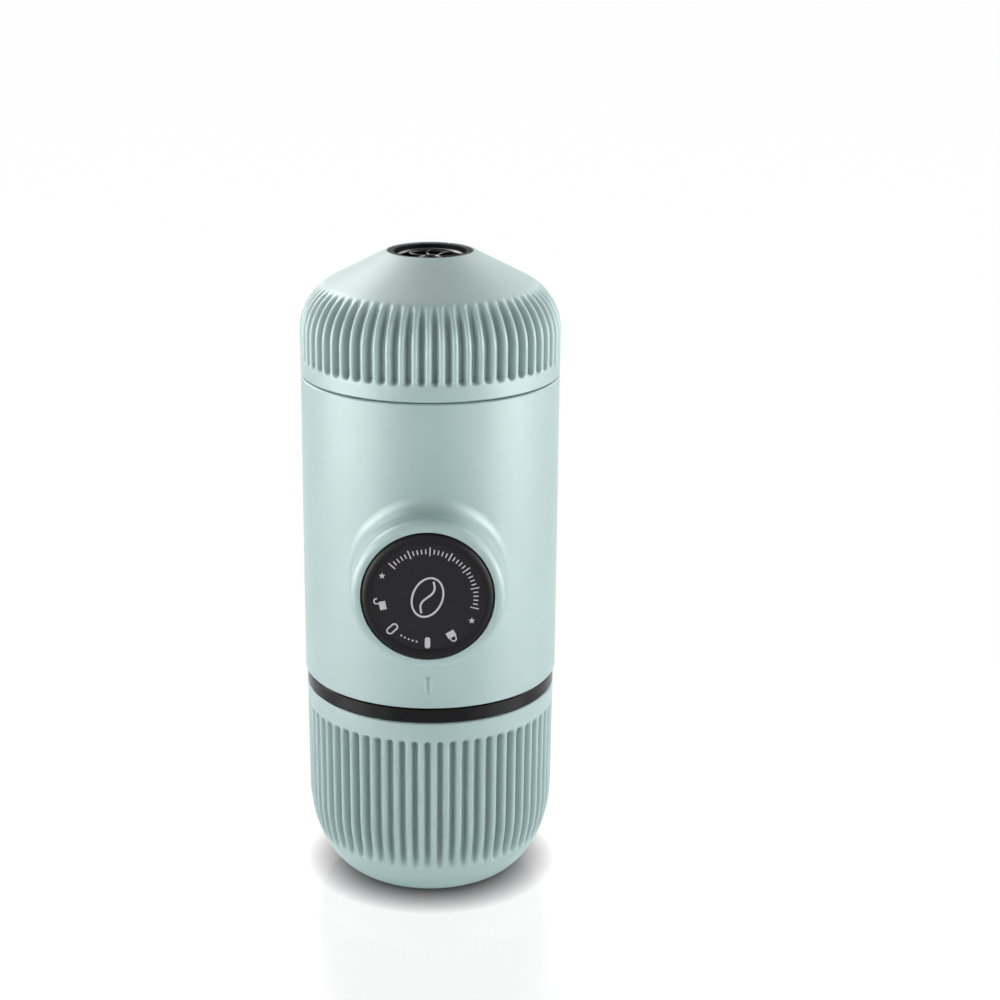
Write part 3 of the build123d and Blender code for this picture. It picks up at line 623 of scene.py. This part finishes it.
# ---------------------------------------------------------------- cup
def cup_outline():
    """Outline of the cup, up its outside and down its inside, and the number of rows outside."""
    side = BAND_RADIUS - CUP_DRAFT
    inner = side - WALL
    centre, corner = (CUP_BASE, CUP_CORNER), (side - CUP_BASE, CUP_CORNER)
    ends = CUP_TOP - CUP_RIB_TOP - (RIB_END - RIB_PAST)

    def drafted(height):
        """Point of the side at a height."""
        return side + CUP_DRAFT * (height - CUP_CORNER) / (CUP_TOP - CUP_CORNER), height

    outside = [
        straight((0, 0, 5.0), (CUP_BASE, 0)),
        arc(centre, corner, -90, CUP_BARE, 0.9),
        arc(centre, corner, CUP_BARE, 0, 0.35),
        straight(
            (side, CUP_CORNER, 2.4),
            (*drafted(ends), RIB_ROWS),
            (*drafted(ends + RIB_END), 1.6),
            (BAND_RADIUS, CUP_TOP - EDGE, 0.2),
            (BAND_RADIUS - EDGE, CUP_TOP),
        ),
    ]
    inside = [
        straight(
            (BAND_RADIUS - EDGE, CUP_TOP, 0.8),
            (inner + CUP_DRAFT, CUP_TOP, 6.0),
            (inner, CUP_CORNER),
        ),
        arc(centre, (inner - CUP_BASE, CUP_CORNER - WALL), 0, -90, 2.5),
        straight((CUP_BASE, WALL, 5.0), (0, WALL)),
        [(0, WALL)],
    ]
    return np.concatenate(outside + inside), sum(map(len, outside))


def make_cup():
    """Ribbed cup, whose grooves run out on its rounded corner."""
    outline, rows = cup_outline()
    fading = CUP_CORNER * CUP_FADE

    def shallow(points):
        return np.clip((fading - points[:, 1]) / (fading - CUP_RIB_LOW), 0, 1) ** CUP_RUNOUT

    cut = ribs(rows, CUP_RIB_LOW, CUP_TOP - CUP_RIB_TOP, shallow, CUP_RIB_PHASE)
    grid = turn(outline, rib_angles(BAND_RADIUS, CUP_RIB_PHASE), cut)
    cup = Form().skin(grid, ring=True).finish("cup_ribs", mint, weld=True)
    dress(cup, "cup", "cup_mint", "cup")


# ---------------------------------------------------------------- tank
def thread(low, high, radius):
    """Cut between the turns of the thread on a neck, whose side has a radius and two heights."""

    def cut(outline, angles):
        height = outline[:, 1:]
        share = (THREAD_STARTS * (angles / (2 * math.pi) - height / THREAD_LEAD)) % 1
        flank = np.clip((np.abs(share - 0.5) - THREAD_CREST) / THREAD_FLANK, 0, 1)
        ends = np.clip(np.minimum(height - low, high - height) / THREAD_RUNOUT, 0, 1)
        side = np.abs(outline[:, :1] - radius) < SAME
        return THREAD_DEPTH * flank * ends * side

    return cut


def make_tank():
    """Tank: a dark band between shadow gaps, the rim that guides the cup, and the neck's thread."""
    inner = TANK_SIDE - TANK_WALL
    floor = TANK_FLOOR + TANK_WALL
    groove = RIM_RADIUS - RING_DEPTH
    gap = BAND_RADIUS - 2 * GAP
    low, high = CUP_TOP + GAP, BODY_LOW - GAP
    ledge, neck, top = BODY_LOW - SEAT, NECK_RADIUS - SEAT, NECK_TOP - SEAT
    centre = (CUP_BASE, CUP_CORNER)
    outline = [
        straight((0, TANK_FLOOR, 4.0), (CUP_BASE, TANK_FLOOR)),
        arc(centre, (TANK_SIDE - CUP_BASE, CUP_CORNER - TANK_FLOOR), -90, 0, 1.5),
        straight(
            (TANK_SIDE, CUP_CORNER, 5.0),
            (TANK_SIDE, CUP_TOP - RIM_LOW, 0.5),
            (RIM_RADIUS, CUP_TOP - RIM_LOW + RIM_SLANT, 1.0),
            (RIM_RADIUS, CUP_TOP - RING_LOW, 0.6),
            (groove, CUP_TOP - RING_LOW, 0.6),
            (groove, CUP_TOP - RING_TOP, 0.6),
            (RIM_RADIUS, CUP_TOP - RING_TOP, 1.0),
            (RIM_RADIUS, CUP_TOP, 0.8),
            (gap, CUP_TOP, 0.2),
            (gap, low, 0.2),
            (BAND_RADIUS - BAND_EDGE_LOW, low, 0.1),
            (BAND_RADIUS, low + BAND_EDGE_LOW, 0.8),
            (BAND_RADIUS, high - BAND_EDGE_TOP, 0.1),
            (BAND_RADIUS - BAND_EDGE_TOP, high, 0.2),
            (gap, high, 0.2),
            (gap, ledge, 0.8),
            (neck, ledge, 0.18),
            (neck, top - NECK_EDGE, 0.3),
            (neck - NECK_EDGE, top, 0.8),
            (NECK_BORE, top, 5.0),
            (inner, CUP_CORNER),
        ),
        arc(centre, (inner - CUP_BASE, CUP_CORNER - floor), 0, -90, 2.0),
        straight((CUP_BASE, floor, 5.0), (0, floor)),
        [(0, floor)],
    ]
    cut = thread(BODY_LOW + THREAD_MARGIN, NECK_TOP - THREAD_MARGIN, neck)
    grid = turn(np.concatenate(outline), even(TANK_SIDES), cut)
    tank = Form().skin(grid, ring=True).finish("tank_threaded", band_grey, inner_black, weld=True)
    for face in tank.data.polygons:
        radius = math.hypot(face.center.x, face.center.y)
        in_gap = face.center.z > CUP_TOP * MM and radius < (BAND_RADIUS - GAP) * MM
        face.material_index = int(in_gap)
    dress(tank, "tank", "tank_grey", "water_tank")


# ---------------------------------------------------------------- group
def make_group_thread():
    """Low turns of the thread that the head screws onto, round the neck of the group."""
    turns = Form()
    for start in range(GROUP_STARTS):
        rows = []
        for share in np.linspace(0, 1, 33):
            a = 2 * math.pi * (start + GROUP_SWEEP * share) / GROUP_STARTS
            middle = GROUP_TOP - GROUP_FIRST - GROUP_DROP * share
            grown = min(1, GROUP_TAPER * share + GROUP_TIP, GROUP_TAPER * (1 - share) + GROUP_TIP)
            tall = GROUP_HALF * grown
            inner, outer = GROUP_RADIUS - GROUP_SUNK, GROUP_RADIUS + GROUP_PROUD
            section = [(inner, -tall), (outer, -tall / 2), (outer, tall / 2), (inner, tall)]
            rows.append([(r * math.cos(a), r * math.sin(a), middle + up) for r, up in section])
        turns.skin(np.array(rows))
    dress(turns.finish("group_thread", inner_black, smooth=25), "body", "inner_black")


# ---------------------------------------------------------------- knob
def make_knob():
    """Cap of the knob, its dial inside a rolled rim."""
    flat = KNOB_RADIUS - KNOB_ROLL
    low = KNOB_REACH - KNOB_ROLL_DROP
    dish = KNOB_RADIUS - KNOB_RIM
    dial = KNOB_REACH - KNOB_DISH
    bore = KNOB_RADIUS - KNOB_WALL
    inside = KNOB_REACH - KNOB_CROWN
    edge = (dish + KNOB_STEP, dial + KNOB_STEP)
    outline = [
        straight(
            (bore, KNOB_BACK, 0.4),
            (KNOB_RADIUS - KNOB_BEVEL, KNOB_BACK, 0.15),
            (KNOB_RADIUS, KNOB_BACK + KNOB_BEVEL, 0.5),
            (KNOB_RADIUS, low),
        ),
        arc((flat, low), (KNOB_ROLL, KNOB_ROLL_DROP), 0, 90, 0.1),
        straight((flat, KNOB_REACH, 0.3), (dish + KNOB_STEP, KNOB_REACH)),
        arc(edge, (KNOB_STEP, KNOB_DISH - KNOB_STEP), 90, 180, 0.05),
        straight(
            (dish, dial + KNOB_STEP, 0.1),
            (dish, dial, 1.0),
            (0, dial, 1.0),
            (0, inside, 2.0),
            (bore, inside, 1.0),
            (bore, KNOB_BACK),
        ),
    ]
    grid = on_pump(turn(np.concatenate(outline), even(KNOB_SIDES)))
    knob = Form().skin(grid, ring=True).finish("knob_turned", knob_rim, knob_satin, weld=True)
    # Faces of the dial get the satin; the rest keeps the rim's darker colour, which is partly
    # painted shade.
    for face in knob.data.polygons:
        near = abs(face.center.y + dial * MM) < DIAL_NEAR * MM
        face.material_index = int(near and face.normal.y < -DIAL_FACING)
    dress(knob, "knob", "knob_black", "knob_cap")


def around(radius, clockwise, across=0.0, out=0.0):
    """Point of the dial at a radius and an angle clockwise from its top, moved across and out."""
    radius += out
    sine, cosine = math.sin(math.radians(clockwise)), math.cos(math.radians(clockwise))
    return (radius * sine + across * cosine, radius * cosine - across * sine)


def loop(count, shape):
    """Points of a closed loop, where shape gives a point for an angle in radians."""
    return [shape(2 * math.pi * i / count) for i in range(count)]


def pill(width, height, radius, clockwise, count=24):
    """Outline of a pill that stands along the dial's radius."""
    half = (height - width) / 2

    def shape(a):
        lift = half if math.sin(a) >= 0 else -half
        return around(radius, clockwise, width / 2 * math.cos(a), lift + width / 2 * math.sin(a))

    return loop(count, shape)


class Prints(Form):
    """Thin marks that stand on the dial, drawn as it is seen from the front."""

    def raise_loops(self, loops):
        """Places loops on the dial, each a list of (across, up, lift above the dial)."""
        flat = np.array(loops, float)
        reach = KNOB_REACH - KNOB_DISH + flat[..., 2]
        return np.stack([flat[..., 0], -reach, flat[..., 1] + PUMP_HEIGHT], -1)

    def patch(self, outline):
        """Filled mark."""
        sunk = [(x, y, -PRINT) for x, y in outline]
        top = [(x, y, PRINT) for x, y in outline]
        self.skin(self.raise_loops([sunk, top]))

    def outline(self, outer, inner):
        """Mark drawn as a line between two outlines."""
        section = [(outer, -PRINT), (outer, PRINT), (inner, PRINT), (inner, -PRINT)]
        loops = [[(x, y, lift) for x, y in points] for points, lift in section]
        self.skin(self.raise_loops(loops), ring=True)

    def stroke(self, path, width):
        """Open line along a path, with square ends."""
        path = np.array(path, float)
        ahead = np.gradient(path, axis=0)
        side = np.stack([-ahead[:, 1], ahead[:, 0]], 1)
        side *= width / 2 / np.linalg.norm(side, axis=1)[:, None]
        left, right = path + side, path - side
        self.patch([*left.tolist(), *right[::-1].tolist()])


def make_dial_marks():
    """Plain marks of the dial: the lock's two places, a scale, stars, padlocks and a bean."""
    prints = Prints()
    prints.patch(pill(*LOCKED_PILL, DIAL_RING, LOCKED))
    outer, inner = (pill(*size, OPENED_RING, OPENED) for size in (OPENED_OUTER, OPENED_INNER))
    prints.outline(outer, inner)
    for i in range(DOTS):
        x, y = around(DIAL_RING, DOTS_START - DIAL_STEP * i)
        dot = loop(12, lambda a: (x + DOT_RADIUS * math.cos(a), y + DOT_RADIUS * math.sin(a)))
        prints.patch(dot)
    for i in range(SCALE_LINES):
        length = SCALE_SHORT if i % SCALE_MAJOR else SCALE_LONG
        low, place = DIAL_RING - length / 2, SCALE_START + DIAL_STEP * i
        prints.stroke([around(low, place), around(low + length, place)], SCALE_WIDTH)
    for x, y in STARS:
        points = [(r, math.pi * i / 5) for i, r in enumerate(STAR_RADII * 5)]
        prints.patch([(x + r * math.sin(a), y + r * math.cos(a)) for r, a in points])
    for clockwise, opened in PADLOCKS:
        padlock(prints, DIAL_RING, clockwise, opened)
    bean(prints)
    marks = prints.finish("dial_marks", ink, smooth=20)
    dress(marks, "knob", "knob_black")


def padlock(prints, radius, clockwise, opened):
    """Small padlock that stands along the dial's radius, closed or opened."""
    corners = [
        (-LOCK_SIDE, LOCK_LOW),
        (-LOCK_SIDE, LOCK_TOP),
        (LOCK_SIDE, LOCK_TOP),
        (LOCK_SIDE, LOCK_LOW),
    ]
    prints.patch([around(radius, clockwise, x, y) for x, y in corners])
    shift = ARCH_RADIUS * 2 if opened else 0.0
    arch = [
        (ARCH_RADIUS * math.cos(a) + shift, ARCH_HEIGHT + ARCH_RADIUS * math.sin(a))
        for a in np.linspace(0, math.pi, 13)
    ]
    free = (ARCH_RADIUS + shift, ARCH_LIFTED if opened else ARCH_FOOT)
    bow = [free, *arch, (-ARCH_RADIUS + shift, ARCH_FOOT)]
    prints.stroke([around(radius, clockwise, x, y) for x, y in bow], ARCH_WIDTH)


def bean(prints):
    """Outline of a coffee bean in the middle of the dial."""
    sine, cosine = math.sin(math.radians(BEAN_TILT)), math.cos(math.radians(BEAN_TILT))

    def lean(x, y):
        return (x * cosine - y * sine, x * sine + y * cosine)

    def oval(across, up):
        return loop(64, lambda a: lean(across * math.cos(a), up * math.sin(a)))

    prints.outline(oval(*BEAN_OUTER), oval(*BEAN_INNER))
    wave = np.linspace(-1, 1, 33)
    crease = [lean(CREASE_WAVE * math.sin(t * math.pi), CREASE_HALF * t) for t in wave]
    prints.stroke(crease, CREASE_WIDTH)


# ---------------------------------------------------------------- spout
def make_spout_insert():
    """Finned ring in the spout, with every upper edge rounded."""
    insert = Form()
    inner, thick = INSERT_RADIUS - INSERT_WALL, INSERT_WALL / 2
    top = SPOUT_FLOOR + INSERT_HEIGHT - thick
    ring = [
        straight((INSERT_RADIUS, SPOUT_FLOOR, 0.6), (INSERT_RADIUS, top)),
        arc((inner + thick, top), (thick, thick), 0, 180, 0.12),
        straight((inner, top, 0.6), (inner, SPOUT_FLOOR, 0.7), (INSERT_RADIUS, SPOUT_FLOOR)),
    ]
    insert.skin(turn(np.concatenate(ring), even(INSERT_SIDES)), ring=True)
    half = (HUB_OUTER - HUB_INNER) / 2
    high = SPOUT_FLOOR + FIN_HEIGHT - half
    hub = [
        straight((HUB_OUTER, SPOUT_FLOOR, 0.5), (HUB_OUTER, high)),
        arc((HUB_INNER + half, high), (half, half), 0, 180, 0.12),
        straight((HUB_INNER, high, 0.5), (HUB_INNER, SPOUT_FLOOR, 0.5), (HUB_OUTER, SPOUT_FLOOR)),
    ]
    insert.skin(turn(np.concatenate(hub), even(HUB_SIDES)), ring=True)
    root, tip = HUB_INNER + half, inner + INSERT_WALL / 3
    edge = FIN_WIDTH / 2
    for i in range(FINS):
        base = 2 * math.pi * i / FINS
        rows = []
        for share in np.linspace(0, 1, 17):
            out = root + (tip - root) * share
            side = 4 * FIN_BOW * share * (1 - share)
            tall = FIN_HEIGHT + (INSERT_HEIGHT - FIN_HEIGHT) * share * FIN_RISE
            row = []
            for a in np.linspace(0, math.pi, 9):
                z = SPOUT_FLOOR + tall - edge + edge * math.sin(a)
                row.append((out, side + edge * math.cos(a), z))
            row += [(out, side - edge, SPOUT_FLOOR), (out, side + edge, SPOUT_FLOOR)]
            rows.append(row)
        x, y, z = np.moveaxis(np.array(rows), -1, 0)
        sine, cosine = math.sin(base), math.cos(base)
        insert.skin(np.stack([x * cosine - y * sine, x * sine + y * cosine, z], -1))
    dress(insert.finish("spout_fins", spout_black), "head", "spout_black", "spout_insert")


# ---------------------------------------------------------------- finishes of the CAD nodes
def finish_nodes():
    """Gives each CAD node the finish of its material slot."""
    for part in frame["record"]["subparts"]:
        node = NODES[part["node"]]
        node.data.materials.clear()
        node.data.materials.append(FINISHES[part["material_slot"]].material)


# ---------------------------------------------------------------- stage
def seen_rays(tree):
    """Value that is 1 for the rays that see the white setting: camera, glossy and clear rays."""
    rays = tree.nodes.new("ShaderNodeLightPath")
    value = rays.outputs["Is Camera Ray"]
    for name in ("Is Glossy Ray", "Is Transmission Ray"):
        either = tree.nodes.new("ShaderNodeMath")
        either.operation = "MAXIMUM"
        tree.links.new(value, either.inputs[0])
        tree.links.new(rays.outputs[name], either.inputs[1])
        value = either.outputs["Value"]
    return value


def make_floor():
    """White floor with a faint mirror image, and a painted soft shadow where the object stands on
    it.
    """
    bpy.ops.mesh.primitive_plane_add(size=FLOOR_SIZE)
    floor = bpy.context.object
    floor.name = "floor"
    material = bpy.data.materials.new("floor")
    material.use_nodes = True
    tree = material.node_tree
    shader = tree.nodes["Principled BSDF"]
    shader.inputs["Base Color"].default_value = (FLOOR_WHITE, FLOOR_WHITE, FLOOR_WHITE, 1)
    shader.inputs["Roughness"].default_value = FLOOR_ROUGHNESS
    # Painted shadow: ambient occlusion darkens the white that the camera sees near the object.
    near = tree.nodes.new("ShaderNodeAmbientOcclusion")
    near.inputs["Distance"].default_value = FLOOR_PAINTED_SHADOW * MM
    near.samples = FLOOR_SAMPLES
    deep = tree.nodes.new("ShaderNodeGamma")
    deep.inputs["Gamma"].default_value = FLOOR_DEPTH
    seen = tree.nodes.new("ShaderNodeEmission")
    seen.inputs["Strength"].default_value = 1 - FLOOR_GLOSS
    mix = tree.nodes.new("ShaderNodeMixShader")
    tree.links.new(near.outputs["Color"], deep.inputs["Color"])
    tree.links.new(deep.outputs["Color"], seen.inputs["Color"])
    tree.links.new(seen_rays(tree), mix.inputs["Fac"])
    tree.links.new(shader.outputs["BSDF"], mix.inputs[1])
    tree.links.new(seen.outputs["Emission"], mix.inputs[2])
    gloss = tree.nodes.new("ShaderNodeBsdfGlossy")
    gloss.inputs["Color"].default_value = (FLOOR_GLOSS, FLOOR_GLOSS, FLOOR_GLOSS, 1)
    gloss.inputs["Roughness"].default_value = FLOOR_GLOSS_ROUGHNESS
    both = tree.nodes.new("ShaderNodeAddShader")
    tree.links.new(mix.outputs["Shader"], both.inputs[0])
    tree.links.new(gloss.outputs["BSDF"], both.inputs[1])
    tree.links.new(both.outputs["Shader"], tree.nodes["Material Output"].inputs["Surface"])
    floor.data.materials.append(material)


def make_world():
    """World that looks white, and lights from a soft sky that grows between two elevations."""
    world = bpy.data.worlds.new("studio")
    bpy.context.scene.world = world
    world.use_nodes = True
    tree = world.node_tree
    tree.nodes.clear()
    place = tree.nodes.new("ShaderNodeTexCoord")
    parts = tree.nodes.new("ShaderNodeSeparateXYZ")
    ramp = tree.nodes.new("ShaderNodeValToRGB")
    ramp.color_ramp.interpolation = "EASE"
    for stop, elevation in zip(ramp.color_ramp.elements, (SKY_LOW, SKY_HIGH)):
        stop.position = math.sin(math.radians(elevation))
    dim = tree.nodes.new("ShaderNodeBackground")
    dim.inputs["Strength"].default_value = SKY_LEVEL
    white = tree.nodes.new("ShaderNodeBackground")
    white.inputs["Color"].default_value = (1, 1, 1, 1)
    mix = tree.nodes.new("ShaderNodeMixShader")
    output = tree.nodes.new("ShaderNodeOutputWorld")
    tree.links.new(place.outputs["Generated"], parts.inputs["Vector"])
    tree.links.new(parts.outputs["Z"], ramp.inputs["Fac"])
    tree.links.new(ramp.outputs["Color"], dim.inputs["Color"])
    tree.links.new(seen_rays(tree), mix.inputs["Fac"])
    tree.links.new(dim.outputs["Background"], mix.inputs[1])
    tree.links.new(white.outputs["Background"], mix.inputs[2])
    tree.links.new(mix.outputs["Shader"], output.inputs["Surface"])


def make_softbox(name, azimuth, elevation, distance, size, radiance, diffuse=True, glossy=True):
    """Area lamp that faces the object's middle. Azimuth 0 is at the front and 90 at the right."""
    side, lift = math.radians(azimuth), math.radians(elevation)
    level = math.cos(lift)
    away = Vector((math.sin(side) * level, -math.cos(side) * level, math.sin(lift)))
    lamp = bpy.data.lights.new(name, "AREA")
    lamp.shape = "RECTANGLE"
    lamp.size, lamp.size_y = (length * MM for length in size)
    lamp.energy = radiance * math.pi * lamp.size * lamp.size_y
    made = bpy.data.objects.new(name, lamp)
    bpy.context.scene.collection.objects.link(made)
    made.location = Vector((0, 0, TOP / 2 * MM)) + away * distance * MM
    made.rotation_euler = away.to_track_quat("Z", "Y").to_euler()
    made.visible_diffuse = diffuse
    made.visible_glossy = glossy


def make_lights():
    """Sky from above, soft fills all round, and boxes beside and behind that only gleam."""
    make_world()
    for fill in FILLS:
        make_softbox(*fill, glossy=False)
    for gleam in GLEAMS:
        make_softbox(*gleam, diffuse=False)


def make_camera():
    """Camera at the photograph's viewpoint."""
    camera = bpy.data.cameras.new("camera")
    camera.lens = CAMERA_LENS
    camera.sensor_width = CAMERA_SENSOR
    camera.shift_x = CAMERA_SHIFT
    made = bpy.data.objects.new("camera", camera)
    bpy.context.scene.collection.objects.link(made)
    azimuth = math.radians(CAMERA_TURN)
    made.location = Vector((math.sin(azimuth), -math.cos(azimuth), 0)) * CAMERA_DISTANCE * MM
    made.location.z = CAMERA_HEIGHT * MM
    made.rotation_euler = (math.radians(CAMERA_TILT), 0, azimuth)
    bpy.context.scene.camera = made


finish_nodes()
make_head_shell()
make_cup()
make_tank()
make_group_thread()
make_knob()
make_dial_marks()
make_spout_insert()

make_floor()
make_lights()
make_camera()
bpy.context.scene.view_settings.view_transform = "Standard"
